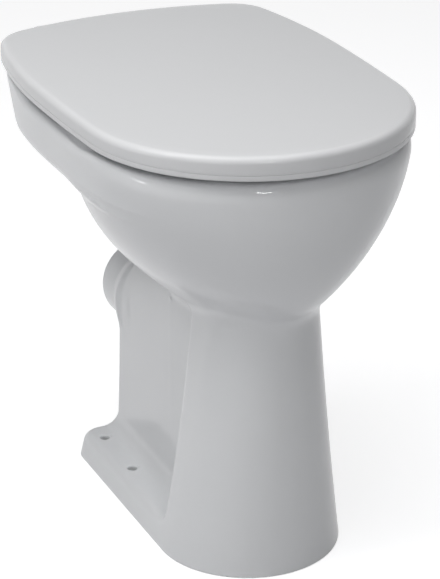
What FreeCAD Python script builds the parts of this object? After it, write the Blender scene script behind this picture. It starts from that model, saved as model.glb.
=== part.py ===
import FreeCAD, Part
import math
import os

from FreeCAD import Vector

# A floor-standing toilet pan with a hinged seat and lid. Millimetres, +Z up, the front faces -Y
# and X = 0 is the plane of symmetry. The origin lies on the floor under the middle of the part.

# Overall sizes
pan_depth = 530.0                 # front of the lid to the back of the ceramic deck
rim_height = 475.0                # floor to the top of the ceramic rim

# Lid and seat outline, a D made of tangent arcs
lid_width = 360.0
lid_rear_inset = 15.0             # back of the lid to the back of the ceramic deck
lid_widest = 321.0                # from the front of the lid to its widest point
lid_front_tuck = 6.0              # how much less than half the width the front's radius is
lid_side_radius = 800.0           # behind the widest point
lid_corner_radius = 47.0
lid_rear_radius = 460.0

# Lid
lid_wall = 4.0
lid_skirt = 16.0                  # height of the lid's side
lid_crown = 3.0                   # rise of the top from side to middle
lid_edge_radius = 5.0
lid_parting = 0.5                 # gap between the lid's skirt and the seat's lip
lid_lug_root = 28.0               # lug's root in front of the lid's back
lid_lug_drop = 3.0                # lug's underside below the hinge axis

# Seat
seat_gap = 6.0                    # rim to the underside of the seat
seat_lip = 4.5                    # height of the lip that shows under the lid
seat_thickness = 14.0
seat_clearance = 1.5              # seat to the inside of the lid's skirt
seat_opening_width = 216.0
seat_opening_length = 278.0
seat_front_band = 67.0
seat_opening_widest = 125.0       # back of the opening to its widest point
seat_edge_radius = 5.0
seat_lug_root = 10.0              # lug's root in front of the seat's back
seat_rear_gap = 2.0               # seat to the hinge brackets' bases

# Ceramic rim and bowl
rim_half_width = 173.5
rim_front_inset = 5.0             # lid front to rim front
bowl_rim_length = 400.0           # front to back, at the rim
bowl_widest = 165.0               # rim front to the bowl's widest point, at the rim
bowl_height = 195.0               # rim down to the neck
rim_band = 17.0                   # upright band below the rim
neck_half_width = 63.0
neck_front_run = 80.0             # how far the front comes back from rim to neck
neck_rear_run = 145.0             # how far the back comes forward from rim to neck
neck_widest_run = 75.0            # how far the widest point moves back from rim to neck
bowl_levels = (0.0, 0.15, 0.3, 0.5, 0.7, 0.88, 1.06)    # sections outside, rim 0 to neck 1
inside_levels = (0.45, 0.62, 0.78)                      # sections inside, below the rim's channel
bowl_wall = 12.0
rim_rounding = 6.0
rim_inner_rounding = 8.0
rim_top_width = 42.0
channel_wall = 15.0               # outside of the rim to the flush channel
channel_width = 17.0
channel_height = 35.0
channel_roof = 12.0
channel_floor = 10.0
flush_hole_radius = 3.5
flush_hole_count = 18

# Rear deck
deck_height = 68.0
deck_side_inset = 2.5             # bowl's widest point to the deck's side
deck_widest = 300.0               # rim front to the deck's widest point
deck_front_length = 295.0         # widest point to the deck's front end, inside the bowl
deck_side_radius = 800.0
deck_corner_radius = 50.0
deck_rear_radius = 300.0
deck_under_radius = 16.0
deck_slab = 14.0
deck_wall = 12.0

# Pedestal
foot_half_width = 103.0
foot_front = 58.0                 # behind the rim front
foot_rear = 422.0                 # behind the rim front
waist_height = 90.0
waist_half_width = 87.0
waist_front = 59.5
waist_rear = 413.0
shank_height = 330.0              # top of the pedestal's form, inside the bowl
shank_half_width = 57.5
shank_front = 68.0
shank_rear = 408.0
housing_slope = 21.0              # rise of the trap housing's round back towards the bowl, degrees
housing_reach = 222.0             # length of that round back, up into the bowl
foot_corner_radius = 22.0
shank_corner_radius = 4.0
least_corner = 1.0                # inside the walls
pedestal_wall = 11.0
recess_front = 172.0              # rim front to the front end of the side recesses
recess_wall_half_width = 51.0     # centre to the wall inside the recess
recess_floor = 30.0
recess_fillet = 16.0
recess_edge_radius = 9.0

# Floor holes
floor_hole_spacing_x = 158.0
floor_hole_spacing_y = 84.0
floor_hole_rear = 38.0            # rear holes in front of the foot's back
floor_hole_radius = 5.5

# Trap and outlet
outlet_height = 194.0
outlet_radius = 51.0
outlet_end = 455.0                # rim front to the end of the spigot
outlet_rounding = 3.0
outlet_bead = 3.0                 # how far the bead at the spigot's root stands out
outlet_bead_width = 12.0
outlet_bead_rounding = 2.5
spigot_root = 8.0                 # bead in front of the housing's back
trap_radius = 35.0
trap_wall = 9.0
trap_bend = 46.0
trap_seal = 50.0
sump_y = 205.0                    # rim front to the middle of the trap's inlet
sump_height = 235.0
sump_mid_half_width = 44.0
sump_lead = 20.0                  # how much further the sump's middle reaches to the front
sump_level = 0.9                  # where the sump leaves the bowl, rim 0 to neck 1
sump_tuck = 1.5                   # the sump's lower end inside the trap's pipe
trap_rise = 12.0                  # the pipe's upper end above the sump's lower end

# Flush inlet
inlet_drop = 55.0                 # rim to the middle of the inlet
inlet_radius = 27.5
inlet_wall = 10.5
inlet_front = 362.0               # rim front to the front end of the inlet's bore

# Hinges
hinge_spacing = 155.0
hinge_axis_height = 16.0          # above the rim
hinge_axis_behind = 7.0           # behind the lid
hinge_bolt_ahead = 22.0           # bolt in front of the lid's back
hinge_barrel_radius = 7.5
hinge_side_gap = 1.5
bracket_width = 15.0
bracket_base_radius = 11.0
bracket_base = 6.0
bracket_pad = 1.5
lug_width = 12.5
pin_radius = 4.0
pin_running_gap = 0.05
pin_head_radius = 6.0
pin_head = 2.0
pin_end_gap = 1.0
clip_thickness = 1.5
clip_radius = 6.5
clip_slot = 6.0
pin_tail = 1.0
bush_radius = 5.5

# Seat bolts
bolt_radius = 3.0
bolt_clearance = 0.2
bolt_head_radius = 5.5
bolt_head = 4.0
bolt_tail = 8.0
deck_hole_radius = 7.0
sleeve_clearance = 0.1
sleeve_flange = 3.0
sleeve_flange_radius = 10.5
washer_radius = 10.0
washer_thickness = 2.0
nut_hub_radius = 7.0
nut_height = 12.0
nut_wing_reach = 15.0
nut_wing_thickness = 3.0
nut_wing_drop = 4.0               # wings below the hub
thread_gap = 0.05

# Buffers
buffer_length = 40.0
buffer_width = 14.0
buffer_socket = 4.0
buffer_fit = 0.05
buffer_front_angle = 35.0         # from the front, seen from the widest part of the bowl
buffer_inset = 29.5               # outside of the rim to the seat's buffers
buffer_rear = 300.0               # rim front to the rear buffers
lid_buffer_inset = 36.0           # outside of the lid to the lid's buffers
lid_buffer_length = 26.0
lid_buffer_width = 10.0

# Levels and places worked out from the sizes
lid_front = -pan_depth / 2
deck_rear = pan_depth / 2
lid_rear = deck_rear - lid_rear_inset
lid_length = lid_rear - lid_front
lid_front_radius = lid_width / 2 - lid_front_tuck
rim_front = lid_front + rim_front_inset
deck_half_width = rim_half_width - deck_side_inset
seat_bottom = rim_height + seat_gap
lip_top = seat_bottom + seat_lip
seat_top = seat_bottom + seat_thickness
lid_bottom = lip_top + lid_parting
lid_top = lid_bottom + lid_skirt
neck_height = rim_height - bowl_height
deck_bottom = rim_height - deck_height
deck_underside = rim_height - deck_slab
channel_top = rim_height - channel_roof
channel_bottom = channel_top - channel_height
bowl_roof = channel_bottom - channel_floor
hinge_x = hinge_spacing / 2
hinge_y = lid_rear + hinge_axis_behind
hinge_z = rim_height + hinge_axis_height
bolt_y = lid_rear - hinge_bolt_ahead
pad_top = rim_height + bracket_pad
base_top = pad_top + bracket_base
seat_rear = bolt_y - bracket_base_radius - seat_rear_gap
seat_lug_x = hinge_x - bracket_width / 2 - hinge_side_gap - lug_width
lid_lug_x = hinge_x + bracket_width / 2 + hinge_side_gap
sump_centre = rim_front + sump_y
trap_top = sump_height + trap_rise
trap_low = outlet_height - trap_radius - trap_seal - trap_radius
outlet_end_y = rim_front + outlet_end
inlet_y = rim_front + inlet_front
inlet_z = rim_height - inlet_drop
floor_hole_y = rim_front + foot_rear - floor_hole_rear
washer_top = deck_underside - sleeve_flange
nut_top = washer_top - washer_thickness
nut_bottom = nut_top - nut_height
sides = {"left": -1.0, "right": 1.0}


def arc(centre, radius, start, end, height):
    points = []
    for angle in (start, (start + end) / 2, end):
        x = centre[0] + radius * math.cos(angle)
        y = centre[1] + radius * math.sin(angle)
        points.append(Vector(x, y, height))
    return Part.Arc(*points).toShape()


def bearing(origin, target):
    return math.atan2(target[1] - origin[1], target[0] - origin[0])


def corner_centre(side_centre, side_reach, rear_centre, rear_reach):
    # Where circles about the two centres cross, on the outer side
    gap = math.dist(side_centre, rear_centre)
    along = (side_reach ** 2 - rear_reach ** 2 + gap ** 2) / (2 * gap)
    across = math.sqrt(side_reach ** 2 - along ** 2)
    ux = (rear_centre[0] - side_centre[0]) / gap
    uy = (rear_centre[1] - side_centre[1]) / gap
    return (side_centre[0] + along * ux - across * uy, side_centre[1] + along * uy + across * ux)


def rear_arcs(half_width, widest, side_radius, corner_radius, rear, rear_radius, height):
    # Right side from the widest point, round the corner and along the back to the left side
    side = (half_width - side_radius, widest)
    back = (0.0, rear - rear_radius)
    corner = corner_centre(side, side_radius - corner_radius, back, rear_radius - corner_radius)
    turn = bearing(side, corner)
    leave = bearing(back, corner)
    return [
        arc(side, side_radius, 0.0, turn, height),
        arc(corner, corner_radius, turn, leave, height),
        arc(back, rear_radius, leave, math.pi - leave, height),
        arc((-corner[0], corner[1]), corner_radius, math.pi - leave, math.pi - turn, height),
        arc((-side[0], side[1]), side_radius, math.pi - turn, math.pi, height),
    ]


def lid_outline(inset, height):
    half_width = lid_width / 2 - inset
    front_radius = lid_front_radius - inset
    widest = lid_front + lid_widest
    reach = lid_widest - lid_front_radius
    flank = (half_width ** 2 + reach ** 2 - front_radius ** 2) / (2 * (half_width - front_radius))
    front = (0.0, lid_front + lid_front_radius)
    side = (half_width - flank, widest)
    turn = bearing(side, front)
    edges = rear_arcs(half_width, widest, lid_side_radius - inset, lid_corner_radius - inset,
                      lid_rear - inset, lid_rear_radius - inset, height)
    edges.append(arc((-side[0], side[1]), flank, math.pi, math.pi - turn, height))
    edges.append(arc(front, front_radius, -math.pi - turn, turn, height))
    edges.append(arc(side, flank, turn, 0.0, height))
    return Part.Wire(Part.__sortEdges__(edges))


def deck_outline(inset, height):
    half_width = deck_half_width - inset
    widest = rim_front + deck_widest
    edges = rear_arcs(half_width, widest, deck_side_radius - inset, deck_corner_radius - inset,
                      deck_rear - inset, deck_rear_radius - inset, height)
    front = half_oval(half_width, widest, deck_front_length - inset, height)
    return Part.Wire(Part.__sortEdges__(edges + [front]))


def half_oval(half_width, widest, length, height):
    major = Vector(half_width, widest, height)
    minor = Vector(0, widest - length, height)
    centre = Vector(0, widest, height)
    if length > half_width:
        curve = Part.Ellipse(minor, major, centre)
        return Part.ArcOfEllipse(curve, -math.pi / 2, math.pi / 2).toShape()
    curve = Part.Ellipse(major, minor, centre)
    return Part.ArcOfEllipse(curve, -math.pi, 0.0).toShape()


def oval(half_width, front, rear, widest, height):
    # Two half ellipses that meet at the widest point, as one closed curve that starts at the back
    count = 32
    points = []
    for step in range(count):
        angle = math.pi / 2 + 2 * math.pi * step / count
        reach = rear - widest if math.sin(angle) > 0 else widest - front
        points.append(Vector(half_width * math.cos(angle), widest + reach * math.sin(angle), height))
    curve = Part.BSplineCurve()
    curve.interpolate(points, PeriodicFlag=True)
    return Part.Wire(curve.toShape())


def bowl_oval(share, inset):
    # Section of the bowl, at a share of the way from the rim down to the neck
    band = rim_band / bowl_height
    swell = max(0.0, (share - band) / (1 - band))
    half_width = rim_half_width - (rim_half_width - neck_half_width) * swell ** 2
    front = rim_front + neck_front_run * share ** 3
    rear = rim_front + bowl_rim_length - neck_rear_run * share ** 2
    widest = rim_front + bowl_widest + neck_widest_run * share
    return oval(half_width - inset, front + inset, rear - inset, widest, rim_height - bowl_height * share)


def rim_oval(inset, height):
    return oval(rim_half_width - inset, rim_front + inset, rim_front + bowl_rim_length - inset,
                rim_front + bowl_widest, height)


def prism(wire, height):
    return Part.Face(wire).extrude(Vector(0, 0, height))


def block(x0, x1, y0, y1, z0, z1):
    return Part.makeBox(x1 - x0, y1 - y0, z1 - z0, Vector(x0, y0, z0))


def post(radius, x, y, z0, z1):
    return Part.makeCylinder(radius, z1 - z0, Vector(x, y, z0))


def cross_bar(radius, x0, x1, y, z):
    return Part.makeCylinder(radius, x1 - x0, Vector(x0, y, z), Vector(1, 0, 0))


def rear_bar(radius, y0, y1, z):
    return Part.makeCylinder(radius, y1 - y0, Vector(0, y0, z), Vector(0, 1, 0))


def mirrored(shape, side):
    return shape if side > 0 else shape.mirror(Vector(0, 0, 0), Vector(1, 0, 0))


def level_edges(shape, height):
    return [edge for edge in shape.Edges
            if abs(edge.BoundBox.ZMin - height) < 1e-4 and abs(edge.BoundBox.ZMax - height) < 1e-4]


def on_surface(edge, shell):
    middle = edge.valueAt((edge.FirstParameter + edge.LastParameter) / 2)
    return shell.distToShape(Part.Vertex(middle))[0] < 1e-3


def pedestal_section(height, half_width, front, rear, corner_radius, inset):
    # A U with a round front and rounded rear corners
    half = half_width - inset
    front_y = rim_front + front + inset
    rear_y = rim_front + rear - inset
    corner = max(corner_radius - inset, least_corner)
    middle = (0.0, front_y + half)
    cx = half - corner
    cy = rear_y - corner
    edges = [
        arc(middle, half, -math.pi, 0.0, height),
        Part.makeLine(Vector(half, middle[1], height), Vector(half, cy, height)),
        arc((cx, cy), corner, 0.0, math.pi / 2, height),
        Part.makeLine(Vector(cx, rear_y, height), Vector(-cx, rear_y, height)),
        arc((-cx, cy), corner, math.pi / 2, math.pi, height),
        Part.makeLine(Vector(-half, cy, height), Vector(-half, middle[1], height)),
    ]
    return Part.Wire(edges)


def above_housing(inset):
    # The room over the trap housing, whose back is half a round bar that slopes up into the bowl
    pivot = Vector(0, rim_front + shank_rear, outlet_height)
    radius = recess_wall_half_width - inset
    space = block(-foot_half_width, foot_half_width, pivot.y - housing_reach, pivot.y + deck_rear,
                  pivot.z, pivot.z + shank_height)
    back = rear_bar(radius, pivot.y - housing_reach, pivot.y + deck_rear, pivot.z)
    space = space.cut(back)
    space.rotate(pivot, Vector(1, 0, 0), -housing_slope)
    return space


def pedestal_form(inset):
    sections = [
        (0.0, foot_half_width, foot_front, foot_rear, foot_corner_radius),
        (waist_height, waist_half_width, waist_front, waist_rear, foot_corner_radius),
        (shank_height, shank_half_width, shank_front, shank_rear, shank_corner_radius),
    ]
    return Part.makeLoft([pedestal_section(*section, inset) for section in sections], True, False)


def recess(side, wall):
    # The hollow above the foot on one side, grown inwards or outwards by the wall
    outside = foot_half_width + bowl_wall
    box = block(recess_wall_half_width - wall, outside, rim_front + recess_front - wall,
                deck_rear, recess_floor - wall, shank_height + bowl_wall)
    inner = recess_wall_half_width - wall
    floor = recess_floor - wall
    front = rim_front + recess_front - wall
    corners = []
    for edge in box.Edges:
        on_wall = abs(edge.BoundBox.XMax - inner) < 1e-4
        on_floor = abs(edge.BoundBox.ZMax - floor) < 1e-4
        on_front = abs(edge.BoundBox.YMax - front) < 1e-4
        if on_wall + on_floor + on_front == 2:
            corners.append(edge)
    return mirrored(box.makeFillet(recess_fillet + wall, corners), side)


def pedestal():
    form = pedestal_form(0.0)
    skin = Part.Shell([face for face in form.Faces if face.BoundBox.ZLength > 1.0])
    tools = [above_housing(0.0)] + [recess(side, 0.0) for side in sides.values()]
    body = form
    for tool in tools:
        body = body.cut(tool)
    rims = []
    for edge in body.Edges:
        inside = 1.0 < edge.BoundBox.ZMin < shank_height - 1.0
        if inside and on_surface(edge, skin) and any(on_surface(edge, tool.Shells[0]) for tool in tools):
            rims.append(edge)
    return body.makeFillet(recess_edge_radius, rims)


def pedestal_hollow():
    form = pedestal_form(pedestal_wall).cut(above_housing(pedestal_wall))
    for side in sides.values():
        form = form.cut(recess(side, pedestal_wall))
    return form


def trap_path():
    # Down from the bowl, round the bend, up to the weir and straight out to the back
    down = sump_centre
    up = sump_centre + 2 * trap_bend
    bend_level = trap_low + trap_bend
    weir_level = outlet_height - trap_bend
    weir_y = up + trap_bend
    slant = trap_bend * math.sqrt(0.5)
    edges = [
        Part.makeLine(Vector(0, down, trap_top), Vector(0, down, bend_level)),
        Part.Arc(Vector(0, down, bend_level), Vector(0, down + trap_bend, trap_low),
                 Vector(0, up, bend_level)).toShape(),
        Part.makeLine(Vector(0, up, bend_level), Vector(0, up, weir_level)),
        Part.Arc(Vector(0, up, weir_level), Vector(0, weir_y - slant, weir_level + slant),
                 Vector(0, weir_y, outlet_height)).toShape(),
        Part.makeLine(Vector(0, weir_y, outlet_height), Vector(0, outlet_end_y, outlet_height)),
    ]
    return Part.Wire(edges)


def trap_tube(radius):
    profile = Part.Wire(Part.makeCircle(radius, Vector(0, sump_centre, trap_top)))
    return trap_path().makePipeShell([profile], True, False)


def sump(inset):
    # The bowl's lower end, drawn in to the round inlet of the trap
    neck = bowl_oval(sump_level, inset)
    middle_height = (neck_height + sump_height) / 2
    half = sump_mid_half_width + bowl_wall - inset
    middle = oval(half, sump_centre - half - sump_lead, sump_centre + half, sump_centre, middle_height)
    mouth = trap_radius - sump_tuck + bowl_wall - inset
    bottom = oval(mouth, sump_centre - mouth, sump_centre + mouth, sump_centre, sump_height)
    return [neck, middle, bottom]


def bowl_inside():
    top = (rim_height - bowl_roof) / bowl_height
    sections = [bowl_oval(share, bowl_wall) for share in (top,) + inside_levels]
    return Part.makeLoft(sections + sump(bowl_wall), True, False)


def ceramic_forms():
    bowl = Part.makeLoft([bowl_oval(share, 0.0) for share in bowl_levels], True, False)
    deck = prism(deck_outline(0.0, deck_bottom), deck_height)
    deck = deck.makeFillet(deck_under_radius, level_edges(deck, deck_bottom)).Solids[0]
    bead_y = rim_front + shank_rear - spigot_root
    bead = rear_bar(outlet_radius + outlet_bead, bead_y, bead_y + outlet_bead_width, outlet_height)
    bead = bead.makeFillet(outlet_bead_rounding, [edge for edge in bead.Edges if edge.BoundBox.YLength < 1e-4])
    spigot = rear_bar(outlet_radius, bead_y + outlet_bead_width / 2, outlet_end_y, outlet_height)
    end_edge = [edge for edge in spigot.Edges if edge.BoundBox.YMin > outlet_end_y - 1e-4]
    spigot = spigot.makeFillet(outlet_rounding, end_edge).fuse(bead).Solids[0]
    boss = rear_bar(inlet_radius + inlet_wall, inlet_y, deck_rear, inlet_z)
    boss = boss.common(prism(deck_outline(0.0, 0.0), rim_height)).Solids[0]
    return bowl, deck, spigot, boss


def ceramic_voids(bowl, spigot, boss):
    trap_outside = trap_tube(trap_radius + trap_wall)
    sump_outside = Part.makeLoft(sump(0.0), True, False)
    hollow = pedestal_hollow()
    for wall in (bowl, trap_outside, sump_outside, spigot):
        hollow = hollow.cut(wall)
    hollow = max(hollow.Solids, key=lambda solid: solid.Volume)
    pocket = prism(deck_outline(deck_wall, deck_bottom - deck_wall), deck_height - deck_slab + deck_wall)
    pocket = pocket.cut(bowl).cut(boss)
    channel = prism(rim_oval(channel_wall, channel_bottom), channel_height)
    channel = channel.cut(prism(rim_oval(channel_wall + channel_width, channel_bottom), channel_height))
    mouth = prism(rim_oval(rim_top_width, bowl_roof), rim_height - bowl_roof)
    inlet = rear_bar(inlet_radius, inlet_y, deck_rear, inlet_z)
    return [hollow, pocket, channel, mouth, bowl_inside(), trap_tube(trap_radius), inlet]


def ceramic_holes():
    holes = []
    middle = channel_wall + channel_width / 2
    past = channel_floor / 2
    for step in range(flush_hole_count):
        angle = 2 * math.pi * (step + 0.5) / flush_hole_count
        reach = bowl_rim_length - bowl_widest if math.sin(angle) > 0 else bowl_widest
        x = (rim_half_width - middle) * math.cos(angle)
        y = rim_front + bowl_widest + (reach - middle) * math.sin(angle)
        holes.append(post(flush_hole_radius, x, y, bowl_roof - past, channel_bottom + past))
    for side in sides.values():
        holes.append(post(deck_hole_radius, side * hinge_x, bolt_y, deck_underside, rim_height))
        x = side * floor_hole_spacing_x / 2
        for y in (floor_hole_y, floor_hole_y - floor_hole_spacing_y):
            holes.append(post(floor_hole_radius, x, y, 0.0, recess_floor + recess_fillet))
    return holes


def ceramic_pan():
    bowl, deck, spigot, boss = ceramic_forms()
    body = bowl.fuse(pedestal()).fuse(deck).removeSplitter()
    body = body.makeFillet(rim_rounding, level_edges(body, rim_height)).Solids[0]
    body = body.fuse(spigot).fuse(boss)
    for void in ceramic_voids(bowl, spigot, boss):
        body = body.cut(void)
    lip = [edge for edge in level_edges(body, rim_height) if edge.isClosed()]
    body = body.makeFillet(rim_inner_rounding, lip).Solids[0]
    return body.cut(ceramic_holes()).Solids[0]


def stadium(length, width, x, y, turn, z0, z1):
    # A bar with round ends, turned about its middle by an angle in degrees
    straight = length - width
    bar = block(-straight / 2, straight / 2, -width / 2, width / 2, 0.0, z1 - z0)
    ends = [post(width / 2, end * straight / 2, 0.0, 0.0, z1 - z0) for end in (-1, 1)]
    bar = bar.multiFuse(ends).removeSplitter()
    bar.rotate(Vector(0, 0, 0), Vector(0, 0, 1), turn)
    bar.translate(Vector(x, y, z0))
    return bar


def buffer_places(reach):
    # Name, middle and turn of each buffer, at a reach from the widest part of the bowl
    angle = math.radians(buffer_front_angle)
    places = []
    for name, side in sides.items():
        x = reach * math.sin(angle)
        y = rim_front + bowl_widest - reach * math.cos(angle)
        places.append(("front_" + name, side * x, y, side * buffer_front_angle))
        places.append(("rear_" + name, side * reach, rim_front + buffer_rear, 90.0))
    return places


def hinge_lug(x, root_y, bottom, top):
    barrel = cross_bar(hinge_barrel_radius, x, x + lug_width, hinge_y, hinge_z)
    arm = block(x, x + lug_width, root_y, hinge_y, bottom, top)
    return barrel.fuse(arm)


def hinge_bores(x):
    bore = cross_bar(bush_radius, x, x + lug_width, hinge_y, hinge_z)
    return [mirrored(bore, side) for side in sides.values()]


def seat_ring():
    inset = lid_wall + seat_clearance
    body = prism(lid_outline(inset, seat_bottom), seat_thickness)
    lip = prism(lid_outline(0.0, seat_bottom), seat_lip)
    behind = block(-lid_width, lid_width, seat_rear, deck_rear, seat_bottom, seat_top)
    front = lid_front + seat_front_band
    rear = front + seat_opening_length
    widest = rear - seat_opening_widest
    opening = prism(oval(seat_opening_width / 2, front, rear, widest, seat_bottom), seat_thickness)
    ring = body.cut(behind).cut(opening)
    ring = ring.makeFillet(seat_edge_radius, level_edges(ring, seat_top))
    ring = ring.fuse(lip.cut(behind).cut(opening)).removeSplitter()
    lug = hinge_lug(seat_lug_x, seat_rear - seat_lug_root, hinge_z - hinge_barrel_radius, seat_top)
    for side in sides.values():
        ring = ring.fuse(mirrored(lug, side))
    for bore in hinge_bores(seat_lug_x):
        ring = ring.cut(bore)
    socket_top = seat_bottom + buffer_socket
    for name, x, y, turn in buffer_places(rim_half_width - buffer_inset):
        ring = ring.cut(stadium(buffer_length, buffer_width, x, y, turn, seat_bottom, socket_top))
    return ring.removeSplitter()


def seat_buffer(x, y, turn):
    return stadium(buffer_length - buffer_fit, buffer_width - buffer_fit, x, y, turn,
                   rim_height, seat_bottom + buffer_socket)


def lid_space(inset):
    # The room under the lid's crowned top, drawn in from the lid's surface
    radius = ((lid_width / 2) ** 2 + lid_crown ** 2) / (2 * lid_crown)
    base = Vector(0, lid_front, lid_top + lid_crown - radius)
    crown = Part.makeCylinder(radius - inset, lid_length, base, Vector(0, 1, 0))
    return prism(lid_outline(inset, lid_bottom), lid_skirt + lid_crown).common(crown).Solids[0]


def lid():
    shell = lid_space(0.0)
    edges = [edge for edge in shell.Edges if edge.BoundBox.ZMin > lid_top - lid_crown]
    shell = shell.makeFillet(lid_edge_radius, edges)
    shell = shell.cut(lid_space(lid_wall))
    underside = lid_top - lid_wall
    outside = lid_lug_x + lug_width + hinge_side_gap
    root_y = lid_rear - lid_lug_root
    for side in sides.values():
        notch = block(seat_lug_x - hinge_side_gap, outside, root_y, lid_rear, lid_bottom, underside)
        shell = shell.cut(mirrored(notch, side))
        lug = hinge_lug(lid_lug_x, root_y, hinge_z - lid_lug_drop, hinge_z + hinge_barrel_radius)
        rib = block(lid_lug_x, lid_lug_x + lug_width, root_y, lid_rear - lid_lug_root / 2,
                    hinge_z - lid_lug_drop, lid_top)
        shell = shell.fuse(mirrored(lug.fuse(rib), side))
    for bore in hinge_bores(lid_lug_x):
        shell = shell.cut(bore)
    return shell.removeSplitter()


def lid_buffer(x, y, turn, cover):
    pad = stadium(lid_buffer_length, lid_buffer_width, x, y, turn, seat_top, lid_top - lid_parting)
    return pad.cut(cover).Solids[0]


def bush(x):
    outside = cross_bar(bush_radius, x, x + lug_width, hinge_y, hinge_z)
    return outside.cut(cross_bar(pin_radius + pin_running_gap, x, x + lug_width, hinge_y, hinge_z))


def hinge_bracket():
    base = post(bracket_base_radius, hinge_x, bolt_y, pad_top, base_top)
    x0 = hinge_x - bracket_width / 2
    barrel = cross_bar(hinge_barrel_radius, x0, x0 + bracket_width, hinge_y, hinge_z)
    head_room = bolt_head_radius + bolt_clearance * 5
    profile = [
        Vector(x0, bolt_y, pad_top),
        Vector(x0, hinge_y, hinge_z - hinge_barrel_radius),
        Vector(x0, hinge_y, hinge_z),
        Vector(x0, hinge_y - hinge_barrel_radius, hinge_z),
        Vector(x0, bolt_y + head_room, base_top),
        Vector(x0, bolt_y, base_top),
    ]
    arm = Part.Face(Part.makePolygon(profile + profile[:1])).extrude(Vector(bracket_width, 0, 0))
    body = base.fuse(arm).fuse(barrel).removeSplitter()
    body = body.cut(post(bolt_radius + bolt_clearance, hinge_x, bolt_y, pad_top, base_top))
    return body.cut(cross_bar(pin_radius, x0, x0 + bracket_width, hinge_y, hinge_z))


def bracket_pad_disc():
    disc = post(bracket_base_radius, hinge_x, bolt_y, rim_height, pad_top)
    return disc.cut(post(bolt_radius + bolt_clearance, hinge_x, bolt_y, rim_height, pad_top))


def hinge_pin():
    inner = seat_lug_x - pin_end_gap - clip_thickness - pin_tail
    outer = lid_lug_x + lug_width + pin_end_gap
    shank = cross_bar(pin_radius, inner, outer, hinge_y, hinge_z)
    return shank.fuse(cross_bar(pin_head_radius, outer, outer + pin_head, hinge_y, hinge_z)).removeSplitter()


def pin_clip():
    x1 = seat_lug_x - pin_end_gap
    x0 = x1 - clip_thickness
    ring = cross_bar(clip_radius, x0, x1, hinge_y, hinge_z)
    ring = ring.cut(cross_bar(pin_radius, x0, x1, hinge_y, hinge_z))
    slot = block(x0, x1, hinge_y - clip_slot / 2, hinge_y + clip_slot / 2, hinge_z - clip_radius, hinge_z)
    return ring.cut(slot)


def seat_bolt():
    shank = post(bolt_radius, hinge_x, bolt_y, nut_bottom - bolt_tail, base_top)
    corners = []
    for step in range(7):
        angle = math.radians(60 * step)
        corners.append(Vector(hinge_x + bolt_head_radius * math.cos(angle),
                              bolt_y + bolt_head_radius * math.sin(angle), base_top))
    head = prism(Part.makePolygon(corners), bolt_head)
    return shank.fuse(head).removeSplitter()


def bolt_sleeve():
    tube = post(deck_hole_radius - sleeve_clearance, hinge_x, bolt_y, deck_underside, rim_height)
    flange = post(sleeve_flange_radius, hinge_x, bolt_y, washer_top, deck_underside)
    bore = post(bolt_radius + bolt_clearance, hinge_x, bolt_y, washer_top, rim_height)
    return tube.fuse(flange).removeSplitter().cut(bore)


def bolt_washer():
    disc = post(washer_radius, hinge_x, bolt_y, nut_top, washer_top)
    return disc.cut(post(bolt_radius + bolt_clearance, hinge_x, bolt_y, nut_top, washer_top))


def wing_nut():
    hub = post(nut_hub_radius, hinge_x, bolt_y, nut_bottom, nut_top)
    wings = block(hinge_x - nut_wing_reach, hinge_x + nut_wing_reach, bolt_y - nut_wing_thickness / 2,
                  bolt_y + nut_wing_thickness / 2, nut_bottom - nut_wing_drop, nut_top - nut_wing_drop)
    body = hub.fuse(wings).removeSplitter()
    return body.cut(post(bolt_radius + thread_gap, hinge_x, bolt_y, nut_bottom - nut_wing_drop, nut_top))


def all_nodes():
    nodes = {"ceramic_pan": ceramic_pan(), "seat_ring": seat_ring(), "lid": lid()}
    paired = {
        "hinge_bracket": hinge_bracket(),
        "bracket_pad": bracket_pad_disc(),
        "hinge_pin": hinge_pin(),
        "pin_clip": pin_clip(),
        "seat_bolt": seat_bolt(),
        "bolt_sleeve": bolt_sleeve(),
        "bolt_washer": bolt_washer(),
        "wing_nut": wing_nut(),
        "seat_bush": bush(seat_lug_x),
        "lid_bush": bush(lid_lug_x),
    }
    for name, shape in paired.items():
        for side_name, side in sides.items():
            nodes[name + "_" + side_name] = mirrored(shape, side)
    for name, x, y, turn in buffer_places(rim_half_width - buffer_inset):
        nodes["seat_buffer_" + name] = seat_buffer(x, y, turn)
    for name, x, y, turn in buffer_places(lid_width / 2 - lid_buffer_inset):
        nodes["lid_buffer_" + name] = lid_buffer(x, y, turn, nodes["lid"])
    return nodes


os.makedirs("parts", exist_ok=True)
for node, shape in all_nodes().items():
    print(node, "valid" if shape.isValid() else "not valid", round(shape.Volume), "mm3")
    shape.exportStep("parts/" + node + ".step")
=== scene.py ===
import bmesh
import bpy
import math
import numpy as np
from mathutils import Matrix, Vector


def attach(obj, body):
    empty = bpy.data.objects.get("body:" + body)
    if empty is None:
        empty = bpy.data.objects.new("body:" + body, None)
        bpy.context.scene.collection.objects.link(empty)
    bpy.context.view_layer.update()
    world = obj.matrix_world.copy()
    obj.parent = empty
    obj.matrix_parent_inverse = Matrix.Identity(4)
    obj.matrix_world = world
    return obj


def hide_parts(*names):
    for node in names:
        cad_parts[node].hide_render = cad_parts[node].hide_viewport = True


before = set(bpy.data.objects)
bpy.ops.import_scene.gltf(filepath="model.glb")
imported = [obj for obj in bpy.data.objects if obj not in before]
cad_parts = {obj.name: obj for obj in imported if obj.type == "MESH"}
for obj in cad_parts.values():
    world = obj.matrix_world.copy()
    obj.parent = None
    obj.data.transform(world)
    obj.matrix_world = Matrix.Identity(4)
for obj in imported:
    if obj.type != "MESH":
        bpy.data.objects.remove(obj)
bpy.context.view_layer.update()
mm = 0.001
scene = bpy.context.scene
scene.view_settings.view_transform = "Standard"
print("frame loaded:", len(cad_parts), "nodes")


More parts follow.
